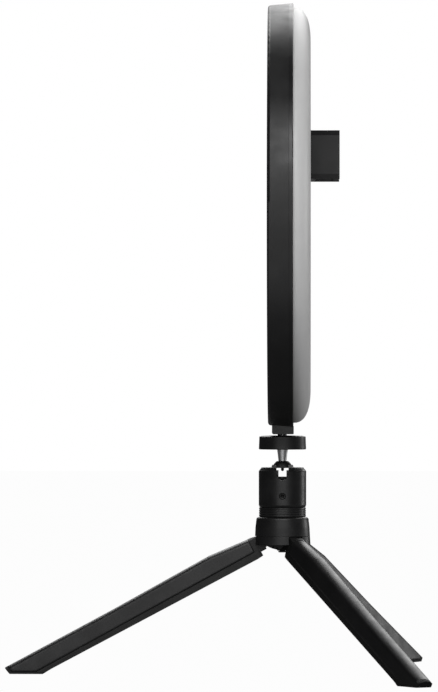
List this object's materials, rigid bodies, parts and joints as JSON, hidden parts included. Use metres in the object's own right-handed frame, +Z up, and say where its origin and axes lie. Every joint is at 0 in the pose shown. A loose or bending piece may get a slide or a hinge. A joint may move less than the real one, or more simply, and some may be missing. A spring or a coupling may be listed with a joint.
{
  "type": "ring light",
  "caption": "Desk ring light with a domed diffuser, phone clip, small ball head and folding table tripod.",
  "frame": {"origin": "on the tripod's vertical axis, at the level of the three soles", "axes": "+Z up along the tripod's axis, +X the way the light faces, +Y to the light's left as it faces forward"},
  "size_m": [0.2591, 0.298, 0.4112],
  "materials": {
    "housing": "satin black moulded plastic",
    "bezel": "semi-gloss black",
    "diffuser": "milky translucent",
    "leg_shell": "satin black moulded plastic",
    "leg_core": "matt black moulded plastic",
    "rubber": "matt black rubber",
    "hub_metal": "satin black anodised",
    "nylon": "grey nylon",
    "ball_black": "black anodised",
    "steel": "bright turned steel",
    "black_steel": "black oxide",
    "brass": "turned",
    "reflector": "white",
    "circuit": "white solder mask",
    "led": "phosphor yellow",
    "clip_plastic": "satin black"
  },
  "bodies": {
    "hub": {"leg_crown": "housing", "hub_collar": "housing", "hub_stud": "steel", "hub_plug": "rubber", "hinge_pins": "steel", "crown_screws": "black_steel"},
    "leg_rear": {"leg_shell_rear": "leg_shell", "leg_core_rear": "leg_core", "foot_pad_rear": "rubber"},
    "leg_near": {"leg_shell_near": "leg_shell", "leg_core_near": "leg_core", "foot_pad_near": "rubber"},
    "leg_far": {"leg_shell_far": "leg_shell", "leg_core_far": "leg_core", "foot_pad_far": "rubber"},
    "lock_ring": {"lock_ring": "hub_metal"},
    "cup": {"ball_cup": "hub_metal", "cup_set_screw": "black_steel"},
    "shoe": {"ball_seat": "nylon"},
    "stem": {"ball": "ball_black", "stem_post": "steel"},
    "disc": {"lock_disc": "housing", "disc_pad": "rubber"},
    "ring": {"rear_housing": "housing", "outer_bezel": "bezel", "inner_bezel": "bezel", "diffuser": "diffuser", "reflector_ring": "reflector", "led_board": "circuit", "led_chips": "led", "housing_screws": "black_steel", "cable_grommet": "rubber", "mount_block": "housing", "tripod_insert": "brass", "holder_base": "clip_plastic", "arm_pin": "steel"},
    "knob": {"arm_knob": "clip_plastic"},
    "arm": {"holder_arm": "clip_plastic"},
    "knuckle": {"clip_knuckle": "clip_plastic", "tilt_pin": "steel"},
    "clip": {"clip_body": "clip_plastic", "fixed_jaw": "clip_plastic", "fixed_jaw_pad": "rubber", "back_pad": "rubber", "clip_springs": "steel"},
    "jaw": {"sliding_jaw": "clip_plastic", "sliding_jaw_pad": "rubber", "guide_rods": "steel"}
  },
  "joints": [
    {"name": "leg_fold_rear", "type": "hinge", "parent": "hub", "child": "leg_rear", "pos_m": [-0.0122, 0, 0.0812], "axis": [0, -1, 0], "range_deg": [0, 61]},
    {"name": "leg_fold_near", "type": "hinge", "parent": "hub", "child": "leg_near", "pos_m": [0.0061, -0.01057, 0.0812], "axis": [0.866, 0.5, 0], "range_deg": [0, 61]},
    {"name": "leg_fold_far", "type": "hinge", "parent": "hub", "child": "leg_far", "pos_m": [0.0061, 0.01057, 0.0812], "axis": [-0.866, 0.5, 0], "range_deg": [0, 61]},
    {"name": "lock_ring_turn", "type": "hinge", "parent": "hub", "child": "lock_ring", "pos_m": [0, 0, 0.099], "axis": [0, 0, 1], "range_deg": [-180, 180]},
    {"name": "cup_pan", "type": "hinge", "parent": "hub", "child": "cup", "pos_m": [0, 0, 0.11], "axis": [0, 0, 1], "continuous": true},
    {"name": "ball_tilt", "type": "hinge", "parent": "cup", "child": "shoe", "pos_m": [0, 0, 0.1254], "axis": [0, 1, 0], "range_deg": [-35, 35]},
    {"name": "ball_swing", "type": "hinge", "parent": "shoe", "child": "stem", "pos_m": [0, 0, 0.1254], "axis": [1, 0, 0], "range_deg": [-50, 50]},
    {"name": "disc_turn", "type": "hinge", "parent": "stem", "child": "disc", "pos_m": [0, 0, 0.142], "axis": [0, 0, 1], "continuous": true},
    {"name": "light_pan", "type": "hinge", "parent": "stem", "child": "ring", "pos_m": [0, 0, 0.15], "axis": [0, 0, 1], "continuous": true},
    {"name": "arm_knob_turn", "type": "hinge", "parent": "ring", "child": "knob", "pos_m": [-0.001, -0.011, 0.206], "axis": [0, 1, 0], "range_deg": [-180, 180]},
    {"name": "arm_tilt", "type": "hinge", "parent": "ring", "child": "arm", "pos_m": [-0.001, 0, 0.206], "axis": [0, 1, 0], "range_deg": [0, 45]},
    {"name": "clip_tilt", "type": "hinge", "parent": "arm", "child": "knuckle", "pos_m": [-0.001, 0, 0.3175], "axis": [0, -1, 0], "range_deg": [-20, 20]},
    {"name": "clip_turn", "type": "hinge", "parent": "knuckle", "child": "clip", "pos_m": [0.012, 0, 0.3175], "axis": [1, 0, 0], "range_deg": [0, 90]},
    {"name": "clip_slide", "type": "slide", "parent": "clip", "child": "jaw", "axis": [0, -1, 0], "range_m": [0, 0.03], "stiffness_N_per_m": 150, "springref_m": -0.02, "deforming": ["clip_springs"]}
  ]
}
